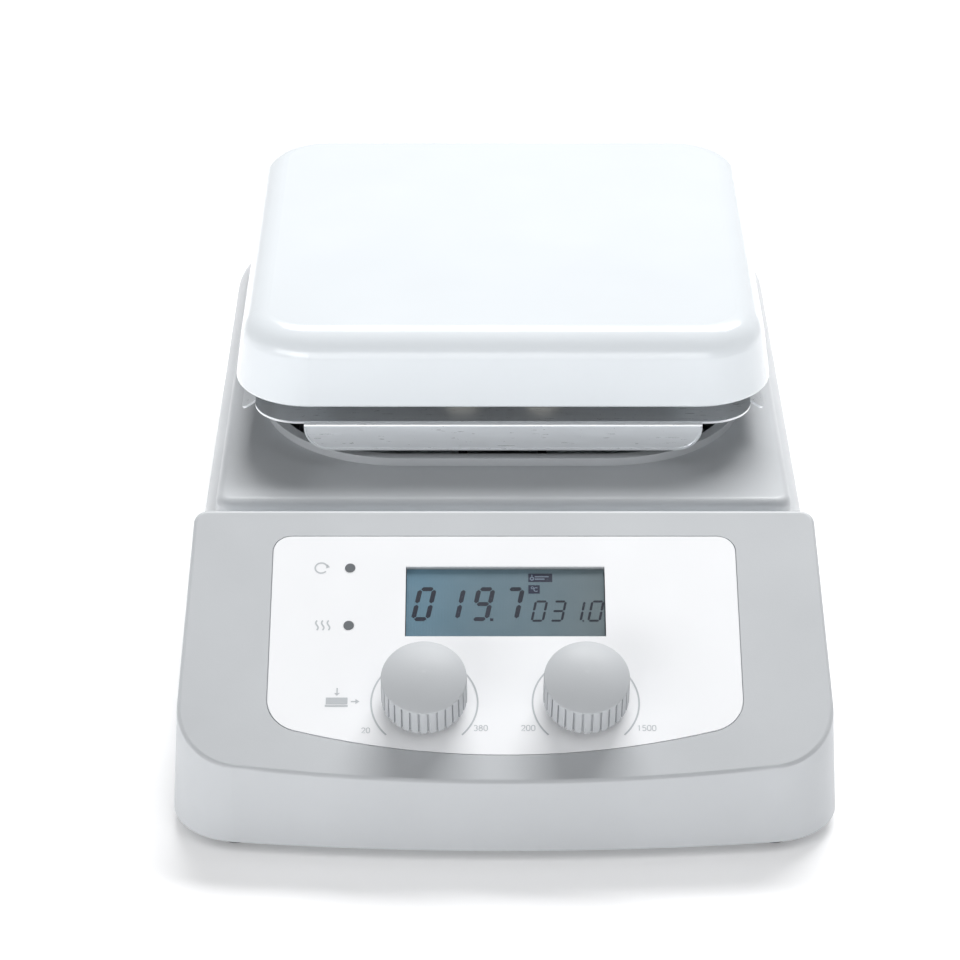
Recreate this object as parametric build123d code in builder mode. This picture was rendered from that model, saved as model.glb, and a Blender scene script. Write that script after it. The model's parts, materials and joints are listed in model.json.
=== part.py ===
from build123d import *
import os
from math import cos, radians, sin, sqrt, tan

# Heated magnetic stirrer: a low plastic body with a sloping console, a square heated plate
# on a sheet steel tray, and a disc motor that spins two magnets under the plate.
# Frame: origin at the centre of the footprint on the table, +X to the user's right,
# +Y to the back, +Z up. All sizes are in millimetres.

os.makedirs("parts", exist_ok=True)

# ------------------------------------------------------------------ driving sizes
body_width = 160.6
body_depth = 280.0
total_height = 86.0
edge_z = 4.0                 # bottom edge of the housing above the table
wall = 2.6
wall_draft = 3.6             # degrees
front_bow = 5.7              # how far the front bulges past its own corners
front_corner_radius = 17.5
rear_corner_radius = 26.0

ridge_y = -138.8             # front edge of the sloping console
ridge_z = 22.7
console_slope = 26.5         # degrees
console_length = 78.3        # along the slope
console_back_y = -62.5
body_joint_y = -70.0         # the console and the body are joined just inside the console
console_corner_radius = 3.5
console_edge_radius = 1.1

ledge_z = 44.0               # top of the body below the raised deck
shoulder_radius = 12.0
deck_z = 50.0
deck_half_width = 73.5
deck_front_y = -50.0
deck_back_y = 124.0
deck_front_radius = 4.0
deck_back_radius = 16.0
deck_edge_radius = 2.4

plate_y = 39.3               # centre of the heated plate and of the motor
plate_size = 140.0
plate_rim_z = 66.7
plate_corner_radius = 20.0
plate_top_fillet = 7.5
plate_draft = 8.0            # degrees
plate_wall = 3.5
plate_floor_z = 81.0         # underside of the plate's top

collar_half_width = 63.6
collar_front_y = -31.0
collar_back_y = 109.6
collar_radius = 37.0
collar_width = 2.7
collar_top_z = 52.2

tray_half_width = 64.9
tray_half_depth = 67.3
tray_top_z = 61.4
tray_corner_radius = 12.0
sheet = 0.6

base_thickness = 2.0
base_z = 4.5
base_top_z = base_z + base_thickness
clearance = 0.05

slope_sin = sin(radians(console_slope))
slope_cos = cos(radians(console_slope))
console_plane = Plane(
    origin=(0, ridge_y, ridge_z),
    x_dir=(1, 0, 0),
    z_dir=(0, -slope_sin, slope_cos),
)
console_top_y = ridge_y + console_length * slope_cos
console_top_z = ridge_z + console_length * slope_sin


# ------------------------------------------------------------------ shared helpers
def write(builder, name):
    """Label a finished piece and write its STEP file."""
    builder.part.label = name
    export_step(builder.part, f"parts/{name}.step")


def body_outline(inset):
    """The body seen from above: bowed front, straight sides, round back corners."""
    half_width = body_width / 2 - inset
    half_depth = body_depth / 2 - inset
    with BuildSketch() as outline:
        with BuildLine():
            ThreePointArc(
                (-half_width, front_bow - half_depth),
                (0, -half_depth),
                (half_width, front_bow - half_depth),
            )
            Polyline(
                (half_width, front_bow - half_depth),
                (half_width, half_depth),
                (-half_width, half_depth),
                (-half_width, front_bow - half_depth),
            )
        make_face()
        corners = outline.vertices().group_by(Axis.Y)
        fillet(corners[0], front_corner_radius - inset)
        fillet(outline.vertices().group_by(Axis.Y)[-1], rear_corner_radius - inset)
    return outline.sketch


def slope_height(y, inset):
    """Height of the console face, moved inwards by inset, at a given y."""
    return ridge_z - inset / slope_cos + (y - ridge_y) * tan(radians(console_slope))


def side_profile(inset):
    """The body seen from the side, as a sketch of (y, z) points."""
    far = body_depth
    back_wall_y = console_back_y - inset
    crest_y = console_top_y - inset
    with BuildSketch() as profile:
        with BuildLine():
            Polyline(
                (-far, -far),
                (-far, slope_height(-far, inset)),
                (crest_y, slope_height(crest_y, inset)),
                (back_wall_y, ledge_z - inset),
                (far, ledge_z - inset),
                (far, -far),
                close=True,
            )
        make_face()
    return profile.sketch


def console_profile():
    """The console seen from the side, down to the housing's bottom edge."""
    far = body_depth / 2 + shoulder_radius
    with BuildSketch() as profile:
        with BuildLine():
            Polyline(
                (-far, edge_z),
                (-far, slope_height(-far, 0)),
                (console_top_y, console_top_z),
                (console_back_y, ledge_z),
                (console_back_y, edge_z),
                close=True,
            )
        make_face()
    return profile.sketch


def deck_outline(inset):
    """The raised deck seen from above."""
    with BuildSketch() as outline:
        with Locations((0, (deck_front_y + deck_back_y) / 2)):
            Rectangle(2 * (deck_half_width - inset), deck_back_y - deck_front_y - 2 * inset)
        front = outline.vertices().group_by(Axis.Y)[0]
        fillet(front, deck_front_radius)
        fillet(outline.vertices().group_by(Axis.Y)[-1], deck_back_radius - inset)
    return outline.sketch


def collar_outline(inset):
    """The collar round the deck opening, seen from above."""
    with BuildSketch() as outline:
        with Locations((0, (collar_front_y + collar_back_y) / 2)):
            RectangleRounded(
                2 * (collar_half_width - inset),
                collar_back_y - collar_front_y - 2 * inset,
                collar_radius - inset,
            )
    return outline.sketch


def lead(points, radii, radius):
    """A round lead along straight runs joined by tangent arcs."""
    with BuildPart() as tube:
        with BuildLine() as path:
            FilletPolyline(*points, radius=radii)
        with BuildSketch(Plane(origin=path.line @ 0, z_dir=path.line % 0)):
            Circle(radius)
        sweep()
    return tube.part


# ------------------------------------------------------------------ console layout
# Places on the console face are (x, distance up the slope).
window_width = 48.8
window_height = 20.4
window_place = (0.2, 50.95)
light_places = [(-37.9, 60.7), (-37.9, 43.9)]
light_radius = 1.25
knob_places = {"temperature": (-19.3, 21.9), "speed": (19.3, 21.9)}
knob_radius = 10.3
overlay_thickness = 0.5
overlay_half_width = 56.9
overlay_top = 70.1
overlay_bottom = 7.5
overlay_bow = 8.7            # rise of the bottom edge from its middle to its corners
overlay_top_radius = 4.4
overlay_bottom_radius = 9.0
bushing_radius = 3.5
board_depth = 8.5            # front of the display board below the console face
board_thickness = 1.6


def overlay_outline(grow):
    """The white front panel: straight sides and a bowed bottom edge."""
    half_width = overlay_half_width + grow
    low = overlay_bottom - grow
    with BuildSketch() as outline:
        with BuildLine():
            ThreePointArc((-half_width, low + overlay_bow), (0, low), (half_width, low + overlay_bow))
            Polyline(
                (half_width, low + overlay_bow),
                (half_width, overlay_top + grow),
                (-half_width, overlay_top + grow),
                (-half_width, low + overlay_bow),
            )
        make_face()
        fillet(outline.vertices().group_by(Axis.Y)[-1], overlay_top_radius + grow)
        fillet(outline.vertices().group_by(Axis.Y)[0], overlay_bottom_radius + grow)
    return outline.sketch


# ------------------------------------------------------------------ rear panel layout
recess_half_width = 56.0
recess_low_z = 8.0
recess_high_z = 38.0
recess_y = 136.0             # outer face of the recessed panel
panel_thickness = 3.0
panel_z = 23.0               # centre height of everything on the panel
module_x = -35.5             # mains module: inlet on one side, fuse drawer on the other
module_flange = (34.0, 27.0)
module_body = (30.0, 24.0)
switch_x = -4.0
switch_flange = (15.0, 21.0)
switch_body = (12.6, 18.6)
port_x = 20.0
port_flange = (27.0, 12.5)
port_body = (18.0, 10.0)
socket_x = 44.0
socket_radius = 5.8
rear_plane = Plane(origin=(0, recess_y, panel_z), x_dir=(-1, 0, 0), z_dir=(0, 1, 0))

rod_place = (62.0, 114.0)    # threaded socket for a support rod
rod_socket_radius = 7.0
rod_thread_radius = 4.25
rod_socket_depth = 20.0
rod_collar_height = 1.2
rod_bore_floor = 2.0

foot_places = [(-64.5, -126), (64.5, -126), (-64.5, 118), (64.5, 118)]
foot_radius = 5.2
boss_places = [(-71, -104), (71, -104), (-71, -45), (71, -45), (-60, 104), (60, 104)]
boss_radius = 4.0
pilot_radius = 1.4
pilot_depth = 12.0

# ------------------------------------------------------------------ top housing
with BuildPart() as housing_cavity:
    with BuildSketch(Plane.XY.offset(edge_z)):
        add(body_outline(wall))
    extrude(amount=total_height, taper=wall_draft)
    with BuildSketch(Plane.YZ):
        add(side_profile(wall))
    extrude(amount=body_width, both=True, mode=Mode.INTERSECT)
    ceiling = housing_cavity.faces().filter_by(Axis.Z).sort_by(Axis.Z)[-1]
    rim = ceiling.edges().filter_by(lambda edge: edge.center().Y > console_back_y + wall)
    fillet(rim, shoulder_radius - wall)
    with BuildSketch(Plane.XY.offset(deck_z - wall)):
        add(deck_outline(wall))
    extrude(amount=-(deck_z - ledge_z + shoulder_radius / 2))
    with Locations((0, body_depth / 2, 0)):
        Box(
            2 * recess_half_width + 2 * wall,
            2 * (body_depth / 2 - recess_y + panel_thickness),
            2 * body_depth,
            mode=Mode.SUBTRACT,
        )
    with Locations(*boss_places):
        Cylinder(boss_radius, 2 * body_depth, mode=Mode.SUBTRACT)
    with Locations((*rod_place, deck_z)):
        Cylinder(rod_socket_radius + wall, 2 * (rod_socket_depth + wall), mode=Mode.SUBTRACT)

with BuildPart() as console_block:
    with BuildSketch(Plane.XY.offset(edge_z)):
        add(body_outline(0))
    extrude(amount=total_height, taper=wall_draft)
    with BuildSketch(Plane.YZ):
        add(console_profile())
    extrude(amount=body_width, both=True, mode=Mode.INTERSECT)
    # round the two back corners, then the whole edge of the sloping face
    back_corners = console_block.edges().filter_by(
        lambda edge: edge.center().Y > console_top_y and abs(edge.center().X) > deck_half_width
        and abs(edge.tangent_at(0.5).Z) > slope_cos
    )
    fillet(back_corners, console_corner_radius)
    slope_face = console_block.faces().filter_by(
        lambda face: abs(face.normal_at().Y + slope_sin) < slope_sin / 100
    )
    fillet(slope_face[0].edges(), console_edge_radius)

with BuildPart() as top_housing:
    with BuildSketch(Plane.XY.offset(edge_z)):
        add(body_outline(0))
    extrude(amount=ledge_z - edge_z, taper=wall_draft)
    ledge = top_housing.faces().filter_by(Axis.Z).sort_by(Axis.Z)[-1]
    fillet(ledge.edges(), shoulder_radius)
    split(bisect_by=Plane.XZ.offset(-body_joint_y), keep=Keep.BOTTOM)
    add(console_block.part)
    # raised deck
    with BuildSketch(Plane.XY.offset(deck_z)):
        add(deck_outline(0))
    extrude(amount=-(deck_z - ledge_z + shoulder_radius / 2), taper=-wall_draft)
    deck = top_housing.faces().filter_by(Axis.Z).sort_by(Axis.Z)[-1]
    fillet(deck.outer_wire().edges(), deck_edge_radius)
    # collar round the opening
    with BuildSketch(Plane.XY.offset(deck_z)):
        add(collar_outline(0))
    extrude(amount=collar_top_z - deck_z)
    add(housing_cavity.part, mode=Mode.SUBTRACT)
    with BuildSketch(Plane.XY.offset(ledge_z - wall)):
        add(collar_outline(collar_width))
    extrude(amount=2 * shoulder_radius, mode=Mode.SUBTRACT)
    # openings in the console face
    with BuildSketch(console_plane):
        add(overlay_outline(0.25))
    extrude(amount=-overlay_thickness, mode=Mode.SUBTRACT)
    with BuildSketch(console_plane):
        with Locations(window_place):
            Rectangle(window_width, window_height)
        with Locations(*light_places):
            Circle(light_radius + clearance)
        with Locations(*knob_places.values()):
            Circle(bushing_radius + clearance)
    extrude(amount=-2 * wall, mode=Mode.SUBTRACT)
    # recessed rear panel and its cut-outs
    with BuildSketch(rear_plane):
        with Locations((0, (recess_low_z + recess_high_z) / 2 - panel_z)):
            RectangleRounded(2 * recess_half_width, recess_high_z - recess_low_z, 2 * wall)
    extrude(amount=body_depth, mode=Mode.SUBTRACT)
    with BuildSketch(rear_plane):
        with Locations((-module_x, 0)):
            Rectangle(*module_body)
        with Locations((-switch_x, 0)):
            Rectangle(*switch_body)
        with Locations((-port_x, 0)):
            Rectangle(*port_body)
        with Locations((-socket_x, 0)):
            Circle(socket_radius - 1.0)
    extrude(amount=-2 * panel_thickness, mode=Mode.SUBTRACT)
    # support rod socket and screw pilots
    with Locations((*rod_place, deck_z)):
        Hole(rod_socket_radius, depth=rod_socket_depth)
    with BuildSketch(Plane.XY.offset(edge_z)):
        add(body_outline(wall))
    extrude(amount=base_top_z - edge_z, mode=Mode.SUBTRACT)
    with BuildSketch(Plane.XY.offset(base_top_z)):
        with Locations(*boss_places):
            Circle(pilot_radius)
    extrude(amount=pilot_depth, mode=Mode.SUBTRACT)
write(top_housing, "top_housing")

# ------------------------------------------------------------------ base, feet, screws
foot_screw_radius = 1.5
foot_edge_radius = 0.6
vent_slot = (26.0, 2.4)
vent_pitch = 6.0
vent_rows = 7

with BuildPart() as base_plate:
    with BuildSketch(Plane.XY.offset(base_z)):
        add(body_outline(wall + 0.3))
    extrude(amount=base_thickness)
    with BuildSketch(Plane.XY.offset(base_z)):
        with Locations(*foot_places):
            Circle(foot_screw_radius)
        with Locations(*boss_places):
            Circle(pilot_radius + 0.3)
        with Locations((0, plate_y)):
            with GridLocations(2 * vent_slot[0], vent_pitch, 2, vent_rows):
                SlotOverall(*vent_slot)
    extrude(amount=base_thickness, mode=Mode.SUBTRACT)
    with BuildSketch(Plane.XY.offset(base_z)):
        with Locations(*boss_places):
            Circle(pilot_radius * 2)
    extrude(amount=base_thickness / 2, mode=Mode.SUBTRACT)
write(base_plate, "base_plate")

with BuildPart() as underside_screws:
    with BuildSketch(Plane.XY.offset(base_z + 0.1)):
        with Locations(*boss_places):
            Circle(pilot_radius * 2 - clearance)
    extrude(amount=base_thickness / 2 - 0.1)
    with BuildSketch(Plane.XY.offset(base_z + base_thickness / 2)):
        with Locations(*boss_places):
            Circle(pilot_radius - clearance)
    extrude(amount=pilot_depth - base_thickness)
    with BuildSketch(Plane.XY.offset(base_z + 0.1)):
        with Locations(*boss_places):
            Rectangle(pilot_radius * 2.6, 0.6)
            Rectangle(0.6, pilot_radius * 2.6)
    extrude(amount=0.5, mode=Mode.SUBTRACT)
    with BuildSketch(Plane.XY.offset(base_z / 2 - 1.5)):
        with Locations(*foot_places):
            Circle(2 * foot_screw_radius - clearance)
    extrude(amount=1.5)
    with BuildSketch(Plane.XY.offset(base_z / 2)):
        with Locations(*foot_places):
            Circle(foot_screw_radius)
    extrude(amount=base_thickness + base_z / 2 + 0.5)
    with BuildSketch(Plane.XY.offset(base_top_z)):
        with Locations(*foot_places):
            RegularPolygon(3.0, 6)
            Circle(foot_screw_radius, mode=Mode.SUBTRACT)
    extrude(amount=2.0)
write(underside_screws, "underside_screws")

with BuildPart() as rubber_feet:
    with BuildSketch(Plane.XY):
        with Locations(*foot_places):
            Circle(foot_radius)
    extrude(amount=base_z)
    fillet(rubber_feet.faces().group_by(Axis.Z)[0].edges(), foot_edge_radius)
    with BuildSketch(Plane.XY):
        with Locations(*foot_places):
            Circle(2 * foot_screw_radius)
    extrude(amount=base_z / 2, mode=Mode.SUBTRACT)
    with BuildSketch(Plane.XY):
        with Locations(*foot_places):
            Circle(foot_screw_radius)
    extrude(amount=base_z, mode=Mode.SUBTRACT)
write(rubber_feet, "rubber_feet")

# ------------------------------------------------------------------ front panel
with BuildPart() as panel_overlay:
    with BuildSketch(console_plane):
        add(overlay_outline(0))
        with Locations(window_place):
            Rectangle(window_width, window_height, mode=Mode.SUBTRACT)
        with Locations(*light_places):
            Circle(light_radius + clearance, mode=Mode.SUBTRACT)
        with Locations(*knob_places.values()):
            Circle(bushing_radius + clearance, mode=Mode.SUBTRACT)
    extrude(amount=-overlay_thickness)
write(panel_overlay, "panel_overlay")

window_set_back = 0.1
window_thickness = 0.8
with BuildPart() as display_window:
    with BuildSketch(console_plane.offset(-window_set_back)):
        with Locations(window_place):
            Rectangle(window_width - 2 * clearance, window_height - 2 * clearance)
    extrude(amount=-window_thickness)
write(display_window, "display_window")

glass_front = 1.0            # both faces of the display glass, below the console face
glass_back = wall
glass_gap = 0.2
frame_border = 4.0
frame_thickness = 3.0
with BuildPart() as lcd_glass:
    with BuildSketch(console_plane.offset(-glass_front)):
        with Locations(window_place):
            Rectangle(window_width - 2 * glass_gap, window_height - 2 * glass_gap)
    extrude(amount=glass_front - glass_back)
write(lcd_glass, "lcd_glass")

with BuildPart() as lcd_frame:
    with BuildSketch(console_plane.offset(-glass_back - clearance)):
        with Locations(window_place):
            Rectangle(window_width + 2 * frame_border, window_height + 2 * frame_border)
    extrude(amount=-frame_thickness)
    chamfer(lcd_frame.faces().sort_by(Axis.Z)[-1].edges().filter_by(Axis.X), glass_gap)
write(lcd_frame, "lcd_frame")

with BuildPart() as indicator_lights:
    with BuildSketch(console_plane.offset(-board_depth)):
        with Locations(*light_places):
            Circle(light_radius)
    extrude(amount=board_depth + 0.15)
write(indicator_lights, "indicator_lights")

board_place = (0.0, 40.0)
board_size = (118.0, 62.0)
board_screw_offset = (54.0, 27.0)
screw_radius = 1.15
screw_head_radius = 2.6
screw_head_height = 1.7
with BuildPart() as display_board:
    with BuildSketch(console_plane.offset(-board_depth)):
        with Locations(board_place):
            Rectangle(*board_size)
            with GridLocations(2 * board_screw_offset[0], 2 * board_screw_offset[1], 2, 2):
                Circle(1.3, mode=Mode.SUBTRACT)
    extrude(amount=-board_thickness)
write(display_board, "display_board")

# ------------------------------------------------------------------ push and turn controls
shaft_radius = 2.0
sleeve_radius = 2.9
encoder_side = 12.0
encoder_floor = 0.4
press_travel = 1.2
knob_base = 2.8              # knob's lower edge above the panel
knob_shoulder = 11.7         # top of the ribbed skirt above the panel
knob_top = 14.3
rib_count = 30
rib_depth = 0.55
knob_wall = 1.8
crown_radius = 19.0
crown_fillet = 0.6
crown_edge = (knob_radius - 0.1, knob_top - crown_radius + sqrt(crown_radius**2 - (knob_radius - 0.1) ** 2))
nut_top = 1.4
shaft_low = board_depth - encoder_floor - clearance - press_travel - 0.1
shaft_top = knob_shoulder + 0.2

bottom = console_plane.offset(-board_depth)
with BuildPart() as encoders:
    with BuildSketch(bottom):
        with Locations(*knob_places.values()):
            Rectangle(encoder_side, encoder_side)
    extrude(amount=board_depth - wall - clearance)
    with BuildSketch(bottom):
        with Locations(*knob_places.values()):
            Circle(bushing_radius)
    extrude(amount=board_depth + nut_top + 0.6)
    with BuildSketch(bottom.offset(encoder_floor)):
        with Locations(*knob_places.values()):
            Circle(sleeve_radius + clearance)
    extrude(amount=2 * board_depth, mode=Mode.SUBTRACT)
write(encoders, "encoders")

for name, place in knob_places.items():
    with BuildPart() as sleeve:
        with BuildSketch(bottom.offset(encoder_floor + clearance)):
            with Locations(place):
                Circle(sleeve_radius)
                Circle(shaft_radius + 0.04, mode=Mode.SUBTRACT)
        extrude(amount=board_depth + nut_top)
    write(sleeve, f"{name}_encoder_sleeve")

    with BuildPart() as shaft:
        with BuildSketch(console_plane.offset(-shaft_low)):
            with Locations(place):
                Circle(shaft_radius)
        extrude(amount=shaft_low + shaft_top)
    write(shaft, f"{name}_shaft")

    seat = Plane(
        origin=console_plane.from_local_coords((*place, 0)),
        x_dir=console_plane.x_dir,
        z_dir=console_plane.z_dir,
    )
    with BuildPart() as knob:
        with BuildSketch(Plane(origin=seat.origin, x_dir=seat.x_dir, z_dir=-seat.y_dir)):
            with BuildLine():
                Polyline((0, knob_top), (0, knob_base), (knob_radius, knob_base), crown_edge)
                RadiusArc(crown_edge, (0, knob_top), -crown_radius)
            make_face()
            fillet(vertices().sort_by(Axis.Y)[-2:].sort_by(Axis.X)[-1], crown_fillet)
        revolve(axis=Axis(seat.origin, seat.z_dir))
        # hollow skirt round a hub that grips the shaft
        with BuildSketch(seat.offset(knob_base)):
            Circle(knob_radius - knob_wall)
        extrude(amount=knob_wall + press_travel, mode=Mode.SUBTRACT)
        with BuildSketch(seat.offset(knob_base)):
            Circle(knob_radius - knob_wall)
            Circle(2 * shaft_radius, mode=Mode.SUBTRACT)
        extrude(amount=knob_shoulder - knob_base - knob_wall, mode=Mode.SUBTRACT)
        with BuildSketch(seat.offset(knob_base)):
            Circle(shaft_radius)
        extrude(amount=shaft_top - knob_base, mode=Mode.SUBTRACT)
        # ribs between narrow grooves
        with BuildSketch(seat.offset(knob_base)):
            with PolarLocations(knob_radius, rib_count):
                Rectangle(2 * rib_depth, rib_depth)
        extrude(amount=knob_shoulder - knob_base - rib_depth, mode=Mode.SUBTRACT)
    write(knob, f"{name}_knob")

with BuildPart() as encoder_nuts:
    with BuildSketch(console_plane):
        with Locations(*knob_places.values()):
            RegularPolygon(5.6, 6)
            Circle(bushing_radius, mode=Mode.SUBTRACT)
    extrude(amount=nut_top)
write(encoder_nuts, "encoder_nuts")

# ------------------------------------------------------------------ heated plate
stud_offset = 46.0
stud_radius = 2.5
stud_places = [(x, plate_y + y) for x in (-stud_offset, stud_offset) for y in (-stud_offset, stud_offset)]
terminal_places = [(-10.5, -13.0), (10.5, -13.0)]
terminal_radius = 2.0
probe_place = (0.0, 66.0)
probe_radius = 2.5
inner_size = plate_size - 2 * plate_wall
element_size = 118.0
element_thickness = 2.0
pad_thickness = 6.5
cover_thickness = 1.0
element_z = plate_floor_z - element_thickness
pad_z = element_z - pad_thickness
cover_z = pad_z - cover_thickness
tray_z = tray_top_z - sheet

with BuildPart() as hotplate:
    with BuildSketch(Plane.XY.offset(plate_rim_z)):
        with Locations((0, plate_y)):
            RectangleRounded(plate_size, plate_size, plate_corner_radius)
    extrude(amount=total_height - plate_rim_z, taper=plate_draft)
    fillet(hotplate.faces().sort_by(Axis.Z)[-1].edges(), plate_top_fillet)
    with BuildSketch(Plane.XY.offset(plate_rim_z)):
        with Locations((0, plate_y)):
            RectangleRounded(inner_size, inner_size, plate_corner_radius - plate_wall)
    extrude(amount=plate_floor_z - plate_rim_z, taper=plate_draft, mode=Mode.SUBTRACT)
    fillet(hotplate.faces().sort_by(Axis.Z)[0].edges(), 0.8)
    with Locations(*[(*place, plate_floor_z) for place in stud_places]):
        Cylinder(stud_radius, 2 * 2.5, mode=Mode.SUBTRACT)
    with Locations((*probe_place, plate_floor_z)):
        Cylinder(probe_radius, 2 * 2.5, mode=Mode.SUBTRACT)
write(hotplate, "hotplate")


def plate_layer(size, low, thickness):
    """A square layer under the plate, pierced for the studs, terminals and probe."""
    with BuildPart() as layer:
        with BuildSketch(Plane.XY.offset(low)):
            with Locations((0, plate_y)):
                RectangleRounded(size, size, plate_corner_radius - 2 * plate_wall)
            with Locations(*stud_places):
                Circle(stud_radius + clearance, mode=Mode.SUBTRACT)
            with Locations(*terminal_places):
                Circle(terminal_radius + 1.5, mode=Mode.SUBTRACT)
            with Locations(probe_place):
                Circle(probe_radius + clearance, mode=Mode.SUBTRACT)
        extrude(amount=thickness)
    return layer


heating_element = plate_layer(element_size, element_z, element_thickness)
write(heating_element, "heating_element")
insulation_pad = plate_layer(element_size + 4, pad_z, pad_thickness)
write(insulation_pad, "insulation_pad")
element_cover = plate_layer(element_size + 4, cover_z, cover_thickness)
write(element_cover, "element_cover")

# ------------------------------------------------------------------ steel tray under the plate
flange_half_width = 51.6
flange_drop = 7.85
flange_corner_radius = 6.6
flange_step = 0.7            # how far a flange stands out past the tray's edge
flange_bend = 1.2
hem_width = 0.5              # raised hem along a flange's cut edge
hem_height = 0.35
ear_half_length = 54.8
ear_length = 4.4
ear_angle = 33.0
tray_front_y = plate_y - tray_half_depth
tray_back_y = plate_y + tray_half_depth



def flange_outline(inset, top_z):
    """A flange seen from the front, with its two lower corners rounded."""
    low_z = tray_top_z - flange_drop + inset
    with BuildSketch() as outline:
        with Locations((0, (low_z + top_z) / 2)):
            Rectangle(2 * (flange_half_width - inset), top_z - low_z)
        fillet(outline.vertices().group_by(Axis.Y)[0], flange_corner_radius - inset)
    return outline.sketch


flange_parts = []
for outwards, edge_y in ((-1, tray_front_y), (1, tray_back_y)):
    inner_y = edge_y - outwards * flange_bend
    outer_y = edge_y + outwards * (flange_step - sheet / 2)
    middle_z = tray_top_z - sheet / 2
    with BuildPart() as flange:
        with BuildSketch(Plane.YZ):
            with BuildLine():
                FilletPolyline(
                    (inner_y, middle_z),
                    (outer_y, middle_z),
                    (outer_y, tray_top_z - flange_drop + sheet / 2),
                    radius=flange_bend - sheet / 2,
                )
                offset(amount=sheet / 2)
            make_face()
        extrude(amount=flange_half_width, both=True)
        with BuildSketch(Plane.XZ):
            add(flange_outline(0, tray_top_z))
        extrude(amount=body_depth, both=True, mode=Mode.INTERSECT)
        with BuildSketch(Plane.XZ.offset(-(edge_y + outwards * (flange_step - sheet / 2)))):
            add(flange_outline(0, tray_top_z - flange_bend))
            add(flange_outline(hem_width, tray_top_z), mode=Mode.SUBTRACT)
        extrude(amount=-outwards * (sheet / 2 + hem_height))
    flange_parts.append(flange.part)

with BuildPart() as heat_tray:
    with BuildSketch(Plane.XY.offset(tray_z)):
        with Locations((0, plate_y)):
            RectangleRounded(2 * tray_half_width, 2 * tray_half_depth, tray_corner_radius)
        with Locations(*stud_places):
            Circle(stud_radius + clearance, mode=Mode.SUBTRACT)
        with Locations(*terminal_places):
            Circle(terminal_radius + 1.5, mode=Mode.SUBTRACT)
        with Locations(probe_place):
            Circle(probe_radius + 2, mode=Mode.SUBTRACT)
    extrude(amount=sheet)
    # front and back flanges, bent straight down
    add(flange_parts)
    # side flanges, folded outwards and down
    for side in (-1, 1):
        lean = radians(ear_angle)
        with BuildSketch(
            Plane(
                origin=(side * tray_half_width, plate_y, tray_top_z),
                x_dir=(0, side, 0),
                z_dir=(side * sin(lean), 0, cos(lean)),
            )
        ):
            with Locations((0, -ear_length / 2)):
                Rectangle(2 * ear_half_length, ear_length)
            fillet(vertices().group_by(Axis.Y)[0], 1.6)
        extrude(amount=-sheet)
write(heat_tray, "heat_tray")

# ------------------------------------------------------------------ motor bridge and plate supports
bridge_top_z = 30.0
bridge_sheet = 1.5
bridge_half_width = 56.0
bridge_half_depth = 52.0
bridge_foot = 9.0
bridge_bend = 2.0
bridge_screw_offset = (bridge_half_width + 5.0, bridge_half_depth - 10.0)
motor_screw_offset = (16.0, 16.0)

with BuildPart() as motor_bridge:
    with BuildSketch(Plane(origin=(0, plate_y, 0), x_dir=(1, 0, 0), z_dir=(0, -1, 0))):
        with BuildLine():
            FilletPolyline(
                (-bridge_half_width - bridge_foot, base_top_z + bridge_sheet / 2),
                (-bridge_half_width, base_top_z + bridge_sheet / 2),
                (-bridge_half_width, bridge_top_z - bridge_sheet / 2),
                (bridge_half_width, bridge_top_z - bridge_sheet / 2),
                (bridge_half_width, base_top_z + bridge_sheet / 2),
                (bridge_half_width + bridge_foot, base_top_z + bridge_sheet / 2),
                radius=bridge_bend,
            )
            offset(amount=bridge_sheet / 2)
        make_face()
    extrude(amount=bridge_half_depth, both=True)
    with BuildSketch(Plane.XY.offset(bridge_top_z)):
        with Locations(*stud_places):
            Circle(stud_radius + clearance)
        with Locations((0, plate_y)):
            Circle(7.6)
            with GridLocations(2 * motor_screw_offset[0], 2 * motor_screw_offset[1], 2, 2):
                Circle(screw_radius + clearance)
            with GridLocations(0, 74, 1, 2):
                SlotOverall(44, 12)
    extrude(amount=-4 * bridge_sheet, mode=Mode.SUBTRACT)
    with BuildSketch(Plane.XY.offset(base_top_z)):
        with Locations((0, plate_y)):
            with GridLocations(2 * bridge_screw_offset[0], 2 * bridge_screw_offset[1], 2, 2):
                Circle(screw_radius + clearance)
    extrude(amount=2 * bridge_sheet, mode=Mode.SUBTRACT)
write(motor_bridge, "motor_bridge")

with BuildPart() as plate_spacers:
    for low, high in ((bridge_top_z, tray_z), (tray_top_z, cover_z)):
        with BuildSketch(Plane.XY.offset(low)):
            with Locations(*stud_places):
                Circle(stud_radius + 1.6)
                Circle(stud_radius + clearance, mode=Mode.SUBTRACT)
        extrude(amount=high - low)
write(plate_spacers, "plate_spacers")

stud_low_z = bridge_top_z - bridge_sheet - 5.0
with BuildPart() as plate_studs:
    with BuildSketch(Plane.XY.offset(stud_low_z)):
        with Locations(*stud_places):
            Circle(stud_radius)
    extrude(amount=plate_floor_z + 2.5 - stud_low_z)
write(plate_studs, "plate_studs")

with BuildPart() as stud_nuts:
    with BuildSketch(Plane.XY.offset(bridge_top_z - bridge_sheet)):
        with Locations(*stud_places):
            RegularPolygon(4.6, 6)
            Circle(stud_radius, mode=Mode.SUBTRACT)
    extrude(amount=-3.5)
write(stud_nuts, "stud_nuts")

terminal_low_z = 54.5
with BuildPart() as heater_terminals:
    with BuildSketch(Plane.XY.offset(terminal_low_z)):
        with Locations(*terminal_places):
            Circle(terminal_radius)
    extrude(amount=element_z - terminal_low_z)
write(heater_terminals, "heater_terminals")

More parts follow.
